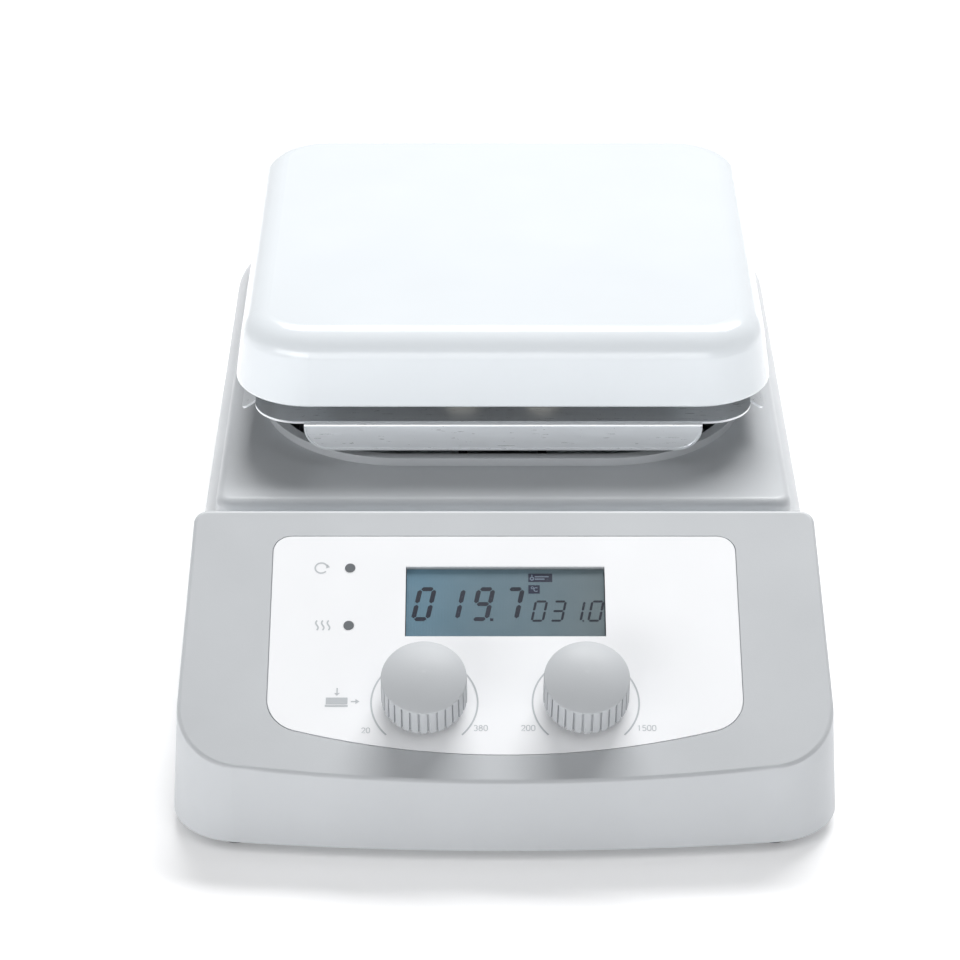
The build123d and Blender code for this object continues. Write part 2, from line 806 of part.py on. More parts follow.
with BuildPart() as terminal_bushes:
    for low, high, radius in (
        (tray_z - 2.0, tray_top_z + 1.2, terminal_radius + 1.45),
        (tray_top_z + 1.2, tray_top_z + 3.4, terminal_radius + 2.8),
    ):
        with BuildSketch(Plane.XY.offset(low)):
            with Locations(*terminal_places):
                Circle(radius)
                Circle(terminal_radius, mode=Mode.SUBTRACT)
        extrude(amount=high - low)
write(terminal_bushes, "terminal_bushes")

probe_low_z = 64.0
with BuildPart() as plate_probe:
    with BuildSketch(Plane.XY.offset(probe_low_z)):
        with Locations(probe_place):
            Circle(probe_radius)
    extrude(amount=plate_floor_z + 2.5 - probe_low_z)
write(plate_probe, "plate_probe")

cutout_place = (-26.0, 62.0)
with BuildPart() as thermal_cutout:
    with BuildSketch(Plane.XY.offset(cover_z)):
        with Locations(cutout_place):
            Circle(7.5)
    extrude(amount=-5.0)
    with BuildSketch(Plane.XY.offset(cover_z)):
        with Locations(cutout_place):
            SlotOverall(26, 8)
    extrude(amount=-0.8)
write(thermal_cutout, "thermal_cutout")

# ------------------------------------------------------------------ motor
tube_radius = 7.5
bearing_radius = 6.0
bearing_height = 4.0
spindle_radius = 3.0
motor_flange_radius = 27.0
motor_flange_top_z = 32.5
tube_top_z = 44.5
core_low_z = 35.0
core_high_z = 41.0
core_hub_radius = 11.5
tooth_count = 12
tooth_width = 3.0
tooth_end_radius = 22.0
magnet_inner_radius = 22.6
cup_inner_radius = 25.6
cup_radius = 27.0
cup_low_z = 33.5
cup_roof_z = 45.5
cup_top_z = 47.0
running_gap = 0.03

with BuildPart() as motor_base:
    with BuildSketch(Plane.XY.offset(bridge_top_z)):
        with Locations((0, plate_y)):
            Circle(motor_flange_radius)
            with GridLocations(2 * motor_screw_offset[0], 2 * motor_screw_offset[1], 2, 2):
                Circle(screw_radius + clearance, mode=Mode.SUBTRACT)
    extrude(amount=motor_flange_top_z - bridge_top_z)
    with BuildSketch(Plane.XY.offset(bridge_top_z)):
        with Locations((0, plate_y)):
            Circle(tube_radius)
    extrude(amount=tube_top_z - bridge_top_z)
    with BuildSketch(Plane.XY.offset(bridge_top_z + 0.5)):
        with Locations((0, plate_y)):
            Circle(bearing_radius)
    extrude(amount=tube_top_z, mode=Mode.SUBTRACT)
write(motor_base, "motor_base")

with BuildPart() as motor_bearings:
    for low in (bridge_top_z + 0.5, tube_top_z - bearing_height):
        with BuildSketch(Plane.XY.offset(low)):
            with Locations((0, plate_y)):
                Circle(bearing_radius)
                Circle(spindle_radius + running_gap, mode=Mode.SUBTRACT)
        extrude(amount=bearing_height)
write(motor_bearings, "motor_bearings")

with BuildPart() as stator_core:
    with BuildSketch(Plane.XY.offset(core_low_z)):
        with Locations((0, plate_y)):
            Circle(core_hub_radius)
            with PolarLocations((core_hub_radius + tooth_end_radius) / 2, tooth_count):
                Rectangle(tooth_end_radius - core_hub_radius + 1, tooth_width)
            with PolarLocations(tooth_end_radius - 0.6, tooth_count):
                Rectangle(1.2, 2.6 * tooth_width)
            Circle(tube_radius, mode=Mode.SUBTRACT)
    extrude(amount=core_high_z - core_low_z)
write(stator_core, "stator_core")

coil_length = 6.0
coil_radius = core_hub_radius + 1.0 + coil_length / 2
with BuildPart() as stator_coils:
    with Locations((0, plate_y, (core_low_z + core_high_z) / 2)):
        with PolarLocations(coil_radius, tooth_count):
            Box(coil_length, tooth_width + 2.4, core_high_z - core_low_z + 2.4)
    with Locations((0, plate_y, (core_low_z + core_high_z) / 2)):
        with PolarLocations(coil_radius, tooth_count):
            Box(
                2 * coil_length,
                tooth_width + 0.02,
                core_high_z - core_low_z + 0.02,
                mode=Mode.SUBTRACT,
            )
write(stator_coils, "stator_coils")

spindle_low_z = bridge_top_z + 0.7
holder_top_z = 50.0
magnet_top_z = 59.0
nut_high_z = 53.0
magnet_offset = 30.0
magnet_radius = 8.0
with BuildPart() as spindle:
    with BuildSketch(Plane.XY.offset(spindle_low_z)):
        with Locations((0, plate_y)):
            Circle(spindle_radius)
    extrude(amount=nut_high_z - spindle_low_z)
write(spindle, "spindle")

with BuildPart() as rotor_cup:
    with BuildSketch(Plane.XY.offset(cup_low_z)):
        with Locations((0, plate_y)):
            Circle(cup_radius)
    extrude(amount=cup_top_z - cup_low_z)
    with BuildSketch(Plane.XY.offset(cup_low_z)):
        with Locations((0, plate_y)):
            Circle(cup_inner_radius)
    extrude(amount=cup_roof_z - cup_low_z, mode=Mode.SUBTRACT)
    with BuildSketch(Plane.XY.offset(cup_low_z)):
        with Locations((0, plate_y)):
            Circle(spindle_radius)
    extrude(amount=total_height, mode=Mode.SUBTRACT)
write(rotor_cup, "rotor_cup")

with BuildPart() as rotor_magnet:
    with BuildSketch(Plane.XY.offset(core_low_z - 0.5)):
        with Locations((0, plate_y)):
            Circle(cup_inner_radius)
            Circle(magnet_inner_radius, mode=Mode.SUBTRACT)
    extrude(amount=core_high_z - core_low_z + 2.0)
write(rotor_magnet, "rotor_magnet")

with BuildPart() as magnet_holder:
    with BuildSketch(Plane.XY.offset(cup_top_z)):
        with Locations((0, plate_y)):
            SlotOverall(2 * (magnet_offset + magnet_radius + 3), 2 * (magnet_radius + 3))
            Circle(spindle_radius, mode=Mode.SUBTRACT)
    extrude(amount=holder_top_z - cup_top_z)
    with BuildSketch(Plane.XY.offset(holder_top_z)):
        with Locations((0, plate_y)):
            with GridLocations(2 * magnet_offset, 0, 2, 1):
                Circle(magnet_radius + 2)
                Circle(magnet_radius, mode=Mode.SUBTRACT)
    extrude(amount=4.0)
write(magnet_holder, "magnet_holder")

with BuildPart() as stirring_magnets:
    with BuildSketch(Plane.XY.offset(holder_top_z)):
        with Locations((0, plate_y)):
            with GridLocations(2 * magnet_offset, 0, 2, 1):
                Circle(magnet_radius)
    extrude(amount=magnet_top_z - holder_top_z)
write(stirring_magnets, "stirring_magnets")

with BuildPart() as holder_nut:
    with BuildSketch(Plane.XY.offset(holder_top_z)):
        with Locations((0, plate_y)):
            RegularPolygon(5.5, 6)
            Circle(spindle_radius, mode=Mode.SUBTRACT)
    extrude(amount=nut_high_z - holder_top_z)
write(holder_nut, "holder_nut")

# ------------------------------------------------------------------ rear panel
flange_thickness = 1.6
module_depth = 26.0
drawer_width = 8.6
drawer_place = -module_x - 9.6
inlet_place = -module_x + 5.2
inlet_size = (16.4, 22.0)
inlet_depth = 16.0
pin_size = (2.0, 4.0)
pin_pitch = 14.0
pin_tip_recess = 3.0
earth_shift = 4.0
drawer_depth = 21.0
drawer_gap = 0.06
drawer_grip = (5.6, 2.0)
drawer_grip_depth = 1.2
fuse_radius = 2.55
fuse_length = 20.0
fuse_y = recess_y - drawer_depth / 2

with BuildPart() as mains_module:
    with BuildSketch(rear_plane):
        with Locations((-module_x, 0)):
            RectangleRounded(*module_flange, 2.0)
    extrude(amount=flange_thickness)
    with BuildSketch(rear_plane):
        with Locations((-module_x, 0)):
            Rectangle(module_body[0] - 0.2, module_body[1] - 0.2)
    extrude(amount=-module_depth)
    face_plane = rear_plane.offset(flange_thickness)
    with BuildSketch(face_plane):
        with Locations((inlet_place, 0)):
            Rectangle(*inlet_size)
            chamfer(vertices().group_by(Axis.X)[0], 4.0)
    extrude(amount=-inlet_depth, mode=Mode.SUBTRACT)
    with BuildSketch(face_plane):
        with Locations((drawer_place, 0)):
            Rectangle(drawer_width + 2 * drawer_gap, inlet_size[1] + 2 * drawer_gap)
    extrude(amount=-drawer_depth - 1.0, mode=Mode.SUBTRACT)
    with BuildSketch(face_plane.offset(-inlet_depth)):
        with Locations((inlet_place - 1.0, -pin_pitch / 2), (inlet_place - 1.0, pin_pitch / 2)):
            Rectangle(*pin_size)
        with Locations((inlet_place - 1.0 + earth_shift, 0)):
            Rectangle(*pin_size)
    extrude(amount=-2 * module_depth, mode=Mode.SUBTRACT)
write(mains_module, "mains_module")

with BuildPart() as mains_pins:
    with BuildSketch(rear_plane.offset(flange_thickness - pin_tip_recess)):
        with Locations((inlet_place - 1.0, -pin_pitch / 2), (inlet_place - 1.0, pin_pitch / 2)):
            Rectangle(*pin_size)
        with Locations((inlet_place - 1.0 + earth_shift, 0)):
            Rectangle(*pin_size)
    extrude(amount=-module_depth)
write(mains_pins, "mains_pins")

with BuildPart() as fuse_drawer:
    with BuildSketch(rear_plane.offset(flange_thickness)):
        with Locations((drawer_place, 0)):
            Rectangle(drawer_width, inlet_size[1])
    extrude(amount=-drawer_depth)
    with BuildSketch(rear_plane.offset(flange_thickness)):
        with Locations((drawer_place, inlet_size[1] / 2 - drawer_grip[1])):
            Rectangle(*drawer_grip)
    extrude(amount=-drawer_grip_depth, mode=Mode.SUBTRACT)
    # the fuse stands in a slot that is open to one side
    slot_x = -drawer_place - fuse_radius - clearance
    with BuildSketch(Plane(origin=(slot_x, fuse_y, panel_z), x_dir=(0, 1, 0), z_dir=(1, 0, 0))):
        Rectangle(2 * (fuse_radius + clearance), fuse_length + 2 * clearance)
    extrude(amount=drawer_width, mode=Mode.SUBTRACT)
write(fuse_drawer, "fuse_drawer")

with BuildPart() as fuse:
    with Locations((-drawer_place, fuse_y, panel_z)):
        Cylinder(fuse_radius, fuse_length)
write(fuse, "fuse")

rocker_half_height = 8.0
rocker_half_width = 5.2
rocker_pivot_radius = 1.6
rocker_low_y = (-0.2, 1.2)   # inner and outer face of the rocker's pressed end
rocker_high_y = (1.8, 3.6)   # and of its raised end
rocker_middle_y = (-1.6, 2.4)
switch_depth = 14.0
switch_well_depth = 7.0
switch_well_gap = 0.25
with BuildPart() as switch_frame:
    with BuildSketch(rear_plane):
        with Locations((-switch_x, 0)):
            RectangleRounded(*switch_flange, 1.5)
    extrude(amount=flange_thickness)
    with BuildSketch(rear_plane):
        with Locations((-switch_x, 0)):
            Rectangle(switch_body[0] - 0.2, switch_body[1] - 0.2)
    extrude(amount=-switch_depth)
    with BuildSketch(rear_plane.offset(flange_thickness)):
        with Locations((-switch_x, 0)):
            Rectangle(
                2 * (rocker_half_width + switch_well_gap),
                2 * (rocker_half_height + 2 * switch_well_gap),
            )
    extrude(amount=-switch_well_depth, mode=Mode.SUBTRACT)
write(switch_frame, "switch_frame")

pivot_y = recess_y - 1.0
with BuildPart() as switch_rocker:
    with BuildSketch(Plane(origin=(switch_x, pivot_y, panel_z), x_dir=(0, 1, 0), z_dir=(1, 0, 0))):
        with BuildLine():
            Polyline(
                (rocker_middle_y[0], 0),
                (rocker_low_y[0], -rocker_half_height + 2 * switch_well_gap),
                (rocker_low_y[1], -rocker_half_height + switch_well_gap),
                (rocker_middle_y[1], 0),
                (rocker_high_y[1], rocker_half_height - switch_well_gap),
                (rocker_high_y[0], rocker_half_height - switch_well_gap / 2),
                close=True,
            )
        make_face()
        Circle(rocker_pivot_radius)
    extrude(amount=rocker_half_width, both=True)
write(switch_rocker, "switch_rocker")

port_plate = 0.8
port_depth = 9.0
port_shell = (15.6, 7.6, 80)     # width, height and end angle of the shell
port_shell_height = 1.4
pole_pitch = 2.6
pole_rows = ((port_shell[1] / 6, 5), (-port_shell[1] / 6, 4))
pole_radius = 0.5
pole_depth = 5.0
with BuildPart() as serial_port:
    with BuildSketch(rear_plane):
        with Locations((-port_x, 0)):
            RectangleRounded(*port_flange, 1.0)
    extrude(amount=port_plate)
    with BuildSketch(rear_plane):
        with Locations((-port_x, 0)):
            Rectangle(port_body[0] - 0.2, port_body[1] - 0.2)
    extrude(amount=-port_depth)
    with BuildSketch(rear_plane.offset(port_plate)):
        with Locations((-port_x, 0)):
            Trapezoid(*port_shell)
    extrude(amount=port_shell_height)
    with BuildSketch(rear_plane.offset(port_plate + port_shell_height)):
        for row_height, poles in pole_rows:
            with Locations((-port_x, row_height)):
                with GridLocations(pole_pitch, 0, poles, 1):
                    Circle(pole_radius)
    extrude(amount=-pole_depth, mode=Mode.SUBTRACT)
write(serial_port, "serial_port")

socket_rim = 1.2
socket_depth = 14.0
socket_bore = (3.2, 9.0)     # radius and depth
with BuildPart() as sensor_socket:
    with BuildSketch(rear_plane):
        with Locations((-socket_x, 0)):
            Circle(socket_radius + 2.0)
    extrude(amount=socket_rim)
    with BuildSketch(rear_plane.offset(socket_rim)):
        with Locations((-socket_x, 0)):
            Circle(socket_radius - 1.1)
    extrude(amount=-socket_depth)
    with BuildSketch(rear_plane.offset(socket_rim)):
        with Locations((-socket_x, 0)):
            Circle(socket_bore[0])
    extrude(amount=-socket_bore[1], mode=Mode.SUBTRACT)
write(sensor_socket, "sensor_socket")

with BuildPart() as rod_socket:
    with BuildSketch(Plane.XY.offset(deck_z - rod_socket_depth)):
        with Locations(rod_place):
            Circle(rod_socket_radius - 0.01)
    extrude(amount=rod_socket_depth)
    with BuildSketch(Plane.XY.offset(deck_z)):
        with Locations(rod_place):
            RegularPolygon(rod_socket_radius, 6)
    extrude(amount=rod_collar_height)
    with Locations((*rod_place, deck_z + rod_collar_height)):
        Hole(rod_thread_radius, depth=rod_socket_depth - rod_bore_floor)
    mouth = rod_socket.faces().sort_by(Axis.Z)[-1].edges().filter_by(GeomType.CIRCLE)
    chamfer(mouth, rod_collar_height / 2)
write(rod_socket, "rod_socket")

# ------------------------------------------------------------------ power electronics
board_y = -66.0
power_board_size = (112.0, 84.0)
power_board_z = 10.5
pillar_offset = (51.0, 37.0)
power_board_top_z = power_board_z + board_thickness

with BuildPart() as power_board:
    with BuildSketch(Plane.XY.offset(power_board_z)):
        with Locations((0, board_y)):
            Rectangle(*power_board_size)
            with GridLocations(2 * pillar_offset[0], 2 * pillar_offset[1], 2, 2):
                Circle(1.5, mode=Mode.SUBTRACT)
    extrude(amount=board_thickness)
write(power_board, "power_board")

with BuildPart() as board_pillars:
    with BuildSketch(console_plane.offset(-board_depth)):
        with Locations(board_place):
            with GridLocations(2 * board_screw_offset[0], 2 * board_screw_offset[1], 2, 2):
                Circle(2.6)
                Circle(1.2, mode=Mode.SUBTRACT)
    extrude(amount=board_depth - wall)
    with BuildSketch(Plane.XY.offset(base_top_z)):
        with Locations((0, board_y)):
            with GridLocations(2 * pillar_offset[0], 2 * pillar_offset[1], 2, 2):
                RegularPolygon(3.2, 6)
                Circle(1.2, mode=Mode.SUBTRACT)
    extrude(amount=power_board_z - base_top_z)
write(board_pillars, "board_pillars")

# pan head screws of the boards, the bridge and the motor: plane under the head, places, grip
screw_rows = [
    (console_plane.offset(-board_depth - board_thickness), board_place, board_screw_offset, -1, 4.0),
    (Plane.XY.offset(power_board_top_z), (0, board_y), pillar_offset, 1, 4.6),
    (Plane.XY.offset(base_top_z + bridge_sheet), (0, plate_y), bridge_screw_offset, 1, bridge_sheet),
    (Plane.XY.offset(bridge_top_z - bridge_sheet), (0, plate_y), motor_screw_offset, -1, 3.5),
]
with BuildPart() as inner_screws:
    for seat, centre, offsets, side, grip in screw_rows:
        for radius, reach in ((screw_head_radius, side * screw_head_height), (screw_radius, -side * grip)):
            with BuildSketch(seat):
                with Locations(centre):
                    with GridLocations(2 * offsets[0], 2 * offsets[1], 2, 2):
                        Circle(radius)
            extrude(amount=reach)
write(inner_screws, "inner_screws")

# sizes are width, depth and height; places are (x, y)
on_board = (Align.CENTER, Align.CENTER, Align.MIN)
transformer_place = (-34.0, -57.0)
transformer_foot = (34.0, 28.0, 2.0)
transformer_core = (34.0, 10.0, 16.0)
winding_size = (20.0, 26.0, 14.0)
with BuildPart() as transformer:
    with Locations((*transformer_place, power_board_top_z)):
        for part_size in (transformer_foot, transformer_core, winding_size):
            Box(*part_size, align=on_board)
write(transformer, "transformer")

capacitor_places = [(8.0, -92.0), (26.0, -92.0)]
capacitor_radius = 6.0
capacitor_height = 14.0
with BuildPart() as capacitors:
    with BuildSketch(Plane.XY.offset(power_board_top_z)):
        with Locations(*capacitor_places):
            Circle(capacitor_radius)
    extrude(amount=capacitor_height)
write(capacitors, "capacitors")

sink_place = (34.0, -44.0)
sink_size = (30.0, 3.0, 18.0)
fin_count = 7
fin_pitch = 4.6
fin_size = (1.4, 6.2)
with BuildPart() as heat_sink:
    with Locations((*sink_place, power_board_top_z)):
        Box(*sink_size, align=on_board)
    with BuildSketch(Plane.XY.offset(power_board_top_z)):
        with Locations((sink_place[0], sink_place[1] + (sink_size[1] + fin_size[1]) / 2 - clearance)):
            with GridLocations(fin_pitch, 0, fin_count, 1):
                Rectangle(*fin_size)
    extrude(amount=sink_size[2])
write(heat_sink, "heat_sink")

triac_size = (10.0, 3.0, 9.0)
triac_place = (sink_place[0], sink_place[1] - (sink_size[1] + triac_size[1]) / 2)
triac_leg = (0.9, 0.6)
triac_leg_pitch = 2.54
triac_low_z = power_board_top_z + 4.5
with BuildPart() as triac:
    with Locations((*triac_place, triac_low_z)):
        Box(*triac_size, align=on_board)
    with BuildSketch(Plane.XY.offset(power_board_top_z)):
        with Locations(triac_place):
            with GridLocations(triac_leg_pitch, 0, 3, 1):
                Rectangle(*triac_leg)
    extrude(amount=triac_low_z - power_board_top_z)
write(triac, "triac")

block_place = (0.0, -34.0)
block_size = (32.0, 9.0, 10.0)
block_screw_pitch = 5.4
block_screw_radius = 1.7
block_screw_depth = 4.0
with BuildPart() as terminal_block:
    with Locations((*block_place, power_board_top_z)):
        Box(*block_size, align=on_board)
    with BuildSketch(Plane.XY.offset(power_board_top_z + block_size[2])):
        with Locations(block_place):
            with GridLocations(block_screw_pitch, 0, 5, 1):
                Circle(block_screw_radius)
    extrude(amount=-block_screw_depth, mode=Mode.SUBTRACT)
write(terminal_block, "terminal_block")

# ------------------------------------------------------------------ internal leads
lead_radius = 1.2
lead_bends = (6.0, 3.0)
lead_entry_z = 17.0          # height at which the leads enter the terminal block
lead_turn_z = 36.0
block_back_y = block_place[1] + block_size[1] / 2
heater_lead_parts = [
    lead(
        [
            (x, y, terminal_low_z),
            (x, y, lead_turn_z),
            (x, block_back_y + 8.0, lead_entry_z),
            (x, block_back_y, lead_entry_z),
        ],
        lead_bends,
        lead_radius,
    )
    for x, y in terminal_places
]
with BuildPart() as heater_leads:
    add(heater_lead_parts)
write(heater_leads, "heater_leads")

pin_end_y = recess_y + flange_thickness - pin_tip_recess - module_depth
pin_z = panel_z - pin_pitch / 2
mains_lead_x = -70.0         # the lead runs along the left wall
mains_lead_z = 15.0
mains_lead_part = lead(
    [
        (1.0 - inlet_place, pin_end_y, pin_z),
        (1.0 - inlet_place, 96.5, pin_z),
        (mains_lead_x, 96.5, mains_lead_z),
        (mains_lead_x, -10.0, mains_lead_z),
        (-57.0, block_place[1], lead_entry_z),
        (-block_size[0] / 2, block_place[1], lead_entry_z),
    ],
    [7.0, 12.0, 14.0, 14.0],
    1.5,
)
with BuildPart() as mains_lead:
    add(mains_lead_part)
write(mains_lead, "mains_lead")
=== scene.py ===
"""Heated magnetic stirrer: finishes, printed marks, display digits, floor, lights and camera."""

import json
import math

import bpy
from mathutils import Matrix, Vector


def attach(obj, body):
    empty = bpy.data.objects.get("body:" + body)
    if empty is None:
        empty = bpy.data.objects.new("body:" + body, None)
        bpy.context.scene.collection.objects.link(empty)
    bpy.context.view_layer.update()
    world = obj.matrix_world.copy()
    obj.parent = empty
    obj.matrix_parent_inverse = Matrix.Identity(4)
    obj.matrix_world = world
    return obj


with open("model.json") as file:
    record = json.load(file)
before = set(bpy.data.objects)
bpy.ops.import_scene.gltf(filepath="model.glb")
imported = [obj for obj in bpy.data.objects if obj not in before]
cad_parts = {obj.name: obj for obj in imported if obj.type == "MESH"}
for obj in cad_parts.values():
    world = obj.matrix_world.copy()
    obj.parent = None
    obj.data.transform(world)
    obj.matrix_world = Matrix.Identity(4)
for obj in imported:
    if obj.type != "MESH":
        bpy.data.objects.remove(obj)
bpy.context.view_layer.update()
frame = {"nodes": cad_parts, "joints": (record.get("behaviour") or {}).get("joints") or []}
joints = {joint["name"]: joint for joint in frame["joints"]}

MM = 0.001


# ---------------------------------------------------------------- shader helpers
def srgb(red, green, blue):
    """A linear colour from 0-255 display values."""

    def linear(value):
        value = value / 255
        return value / 12.92 if value <= 0.04045 else ((value + 0.055) / 1.055) ** 2.4

    return (linear(red), linear(green), linear(blue), 1.0)


class Surface:
    """A procedural material built node by node round one Principled shader."""

    def __init__(self, name):
        self.material = bpy.data.materials.new(name)
        self.material.use_nodes = True
        self.tree = self.material.node_tree
        self.tree.nodes.clear()
        self.output = self.node("ShaderNodeOutputMaterial")
        self.shader = self.node("ShaderNodeBsdfPrincipled")
        self.link(self.shader.outputs["BSDF"], self.output.inputs["Surface"])
        self.height = None

    def node(self, kind):
        return self.tree.nodes.new(kind)

    def link(self, source, target):
        self.tree.links.new(source, target)

    def set(self, **values):
        """Fixed inputs of the shader, with underscores for the spaces in their names."""
        for name, value in values.items():
            self.shader.inputs[name.replace("_", " ")].default_value = value

    def coordinates(self, stretch=(1, 1, 1), turn=(0, 0, 0)):
        """Places on the object in metres, stretched and turned."""
        source = self.node("ShaderNodeTexCoord")
        mapping = self.node("ShaderNodeMapping")
        mapping.inputs["Scale"].default_value = stretch
        mapping.inputs["Rotation"].default_value = turn
        self.link(source.outputs["Object"], mapping.inputs["Vector"])
        return mapping.outputs["Vector"]

    def noise(self, scale, detail=3.0, stretch=(1, 1, 1)):
        texture = self.node("ShaderNodeTexNoise")
        texture.inputs["Scale"].default_value = scale
        texture.inputs["Detail"].default_value = detail
        self.link(self.coordinates(stretch), texture.inputs["Vector"])
        return texture.outputs["Fac"]

    def bands(self, scale, axis="Z", turn=(0, 0, 0)):
        texture = self.node("ShaderNodeTexWave")
        texture.bands_direction = axis
        texture.inputs["Scale"].default_value = scale
        self.link(self.coordinates(turn=turn), texture.inputs["Vector"])
        return texture.outputs["Fac"]

    def along(self, axis):
        """The place along one axis of the object, in metres."""
        split = self.node("ShaderNodeSeparateXYZ")
        self.link(self.coordinates(), split.inputs["Vector"])
        return split.outputs[axis]

    def cells(self, scale):
        texture = self.node("ShaderNodeTexVoronoi")
        texture.inputs["Scale"].default_value = scale
        self.link(self.coordinates(), texture.inputs["Vector"])
        return texture.outputs["Distance"]

    def remap(self, value, low, high, to_low, to_high):
        node = self.node("ShaderNodeMapRange")
        node.inputs["From Min"].default_value = low
        node.inputs["From Max"].default_value = high
        node.inputs["To Min"].default_value = to_low
        node.inputs["To Max"].default_value = to_high
        self.link(value, node.inputs["Value"])
        return node.outputs["Result"]

    def mix(self, factor, first, second):
        """A blend of two colours, each a fixed colour or another node's output."""
        node = self.node("ShaderNodeMix")
        node.data_type = "RGBA"
        self.link(factor, node.inputs["Factor"])
        for value, socket in ((first, node.inputs[6]), (second, node.inputs[7])):
            if isinstance(value, tuple):
                socket.default_value = value
            else:
                self.link(value, socket)
        return node.outputs[2]

    def colour(self, value):
        self.link(value, self.shader.inputs["Base Color"])

    def mottle(self, tone, shade, scale, stretch=(1, 1, 1)):
        """A soft drift between two near colours."""
        factor = self.remap(self.noise(scale, 4.0, stretch), 0.35, 0.65, 0.0, 1.0)
        blended = self.mix(factor, tone, shade)
        self.colour(blended)
        return blended

    def rough(self, low, high, scale, stretch=(1, 1, 1)):
        """Roughness that wanders between two values."""
        self.link(
            self.remap(self.noise(scale, 4.0, stretch), 0.3, 0.7, low, high),
            self.shader.inputs["Roughness"],
        )

    def bump(self, value, depth):
        """Relief of that depth in metres, laid over any relief already there."""
        node = self.node("ShaderNodeBump")
        node.inputs["Distance"].default_value = depth
        self.link(value, node.inputs["Height"])
        if self.height is not None:
            self.link(self.height, node.inputs["Normal"])
        self.height = node.outputs["Normal"]
        self.link(self.height, self.shader.inputs["Normal"])


def plastic(name, tone, shade, low, high, grain=1800.0, depth=0.000012):
    """Moulded plastic or rubber: faint colour drift and a fine spark-eroded grain."""
    surface = Surface(name)
    surface.mottle(tone, shade, 28.0)
    surface.rough(low, high, 90.0)
    surface.bump(surface.noise(grain, 2.0), depth)
    return surface


def metal(name, tone, shade, low, high, stretch=(1, 1, 1), grain=900.0, depth=0.000006):
    """Bare or plated metal, with its grain drawn out along the axis that stretch scales least."""
    surface = Surface(name)
    surface.set(Metallic=1.0)
    surface.mottle(tone, shade, 60.0, stretch)
    surface.rough(low, high, 220.0, stretch)
    surface.bump(surface.noise(grain, 3.0, stretch), depth)
    return surface


# ---------------------------------------------------------------- finishes
finishes = {}

finishes["housing_grey"] = plastic("housing_grey", srgb(212, 215, 218), srgb(208, 211, 214), 0.4, 0.48)
finishes["panel_white"] = plastic(
    "panel_white", srgb(250, 251, 253), srgb(248, 249, 251), 0.30, 0.38, 2400.0, 0.000004
)

window = Surface("clear_window")
window.mottle(srgb(96, 112, 118), srgb(104, 118, 122), 40.0)
window.rough(0.05, 0.09, 120.0)
window.bump(window.noise(300.0, 2.0), 0.000002)
window.set(Alpha=0.05)
finishes["clear_window"] = window

# The display's colour fades from a lighter blue on the left to a darker grey on the right, which is painted
# light falling across it, and it carries fine upright lines.
display = Surface("lcd")
half_display = 0.024
line_scale = 420.0
drift = display.remap(display.noise(22.0, 2.0), 0.35, 0.65, 0.0, 1.0)
# painted light: the display is coloured lighter and bluer on the left, darker and greyer on the right
painted_light_fade = display.remap(display.along("X"), -half_display, half_display, 0.0, 1.0)
painted_light_tint = display.mix(painted_light_fade, srgb(102, 141, 162), srgb(108, 122, 128))
field = display.mix(display.remap(drift, 0.0, 1.0, 0.0, 0.3), painted_light_tint, srgb(100, 116, 118))
lines = display.remap(display.bands(line_scale, "X"), 0.0, 1.0, 0.0, 0.12)
display.colour(display.mix(lines, field, srgb(78, 92, 98)))
display.rough(0.35, 0.45, 200.0)
display.bump(display.bands(line_scale, "X"), 0.000002)
finishes["lcd"] = display

finishes["dark_plastic"] = plastic("dark_plastic", srgb(44, 45, 48), srgb(38, 39, 42), 0.38, 0.5)
finishes["lens_grey"] = plastic(
    "lens_grey", srgb(128, 132, 135), srgb(118, 122, 126), 0.15, 0.25, 1200.0, 0.000004
)
finishes["knob_grey"] = plastic("knob_grey", srgb(194, 197, 200), srgb(190, 193, 196), 0.52, 0.62)
finishes["rubber_black"] = plastic(
    "rubber_black", srgb(46, 46, 48), srgb(38, 38, 40), 0.7, 0.85, 1400.0, 0.00003
)
finishes["lead_insulation"] = plastic("lead_insulation", srgb(62, 62, 66), srgb(54, 54, 58), 0.45, 0.6)
finishes["can_black"] = plastic("can_black", srgb(46, 47, 56), srgb(38, 39, 48), 0.3, 0.42)
finishes["ceramic_white"] = plastic(
    "ceramic_white", srgb(236, 231, 220), srgb(226, 221, 210), 0.35, 0.5, 1500.0, 0.00002
)

board = Surface("board_green")
blotches = board.remap(board.noise(40.0), 0.35, 0.65, 0.0, 1.0)
solder_mask = board.mix(blotches, srgb(34, 104, 62), srgb(28, 92, 54))
tracks = board.remap(board.bands(130.0, "X", (0, 0, math.radians(45))), 0.78, 0.82, 0.0, 1.0)
traced = board.mix(tracks, solder_mask, srgb(52, 132, 80))
pads = board.remap(board.cells(230.0), 0.12, 0.16, 1.0, 0.0)
board.colour(board.mix(pads, traced, srgb(186, 180, 160)))
board.rough(0.3, 0.45, 160.0)
board.bump(tracks, 0.00003)
board.bump(pads, 0.00004)
finishes["board_green"] = board

finishes["steel"] = metal("steel", srgb(178, 180, 182), srgb(166, 168, 171), 0.28, 0.4)
sheet_steel = metal(
    "polished_steel", srgb(232, 235, 238), srgb(229, 232, 235), 0.27, 0.33, (1, 12, 12), 500.0, 0.000002
)
sheet_steel.set(Metallic=0.55)
finishes["polished_steel"] = sheet_steel
finishes["nickel"] = metal("nickel", srgb(206, 202, 192), srgb(194, 190, 180), 0.16, 0.28)
finishes["brass_part"] = metal("brass_part", srgb(212, 182, 112), srgb(200, 168, 98), 0.2, 0.34)
finishes["motor_alloy"] = metal(
    "motor_alloy", srgb(198, 199, 201), srgb(186, 188, 190), 0.34, 0.5, (1, 1, 8)
)
finishes["magnet"] = metal(
    "magnet", srgb(118, 118, 122), srgb(104, 104, 108), 0.4, 0.55, (1, 1, 1), 1500.0, 0.00002
)

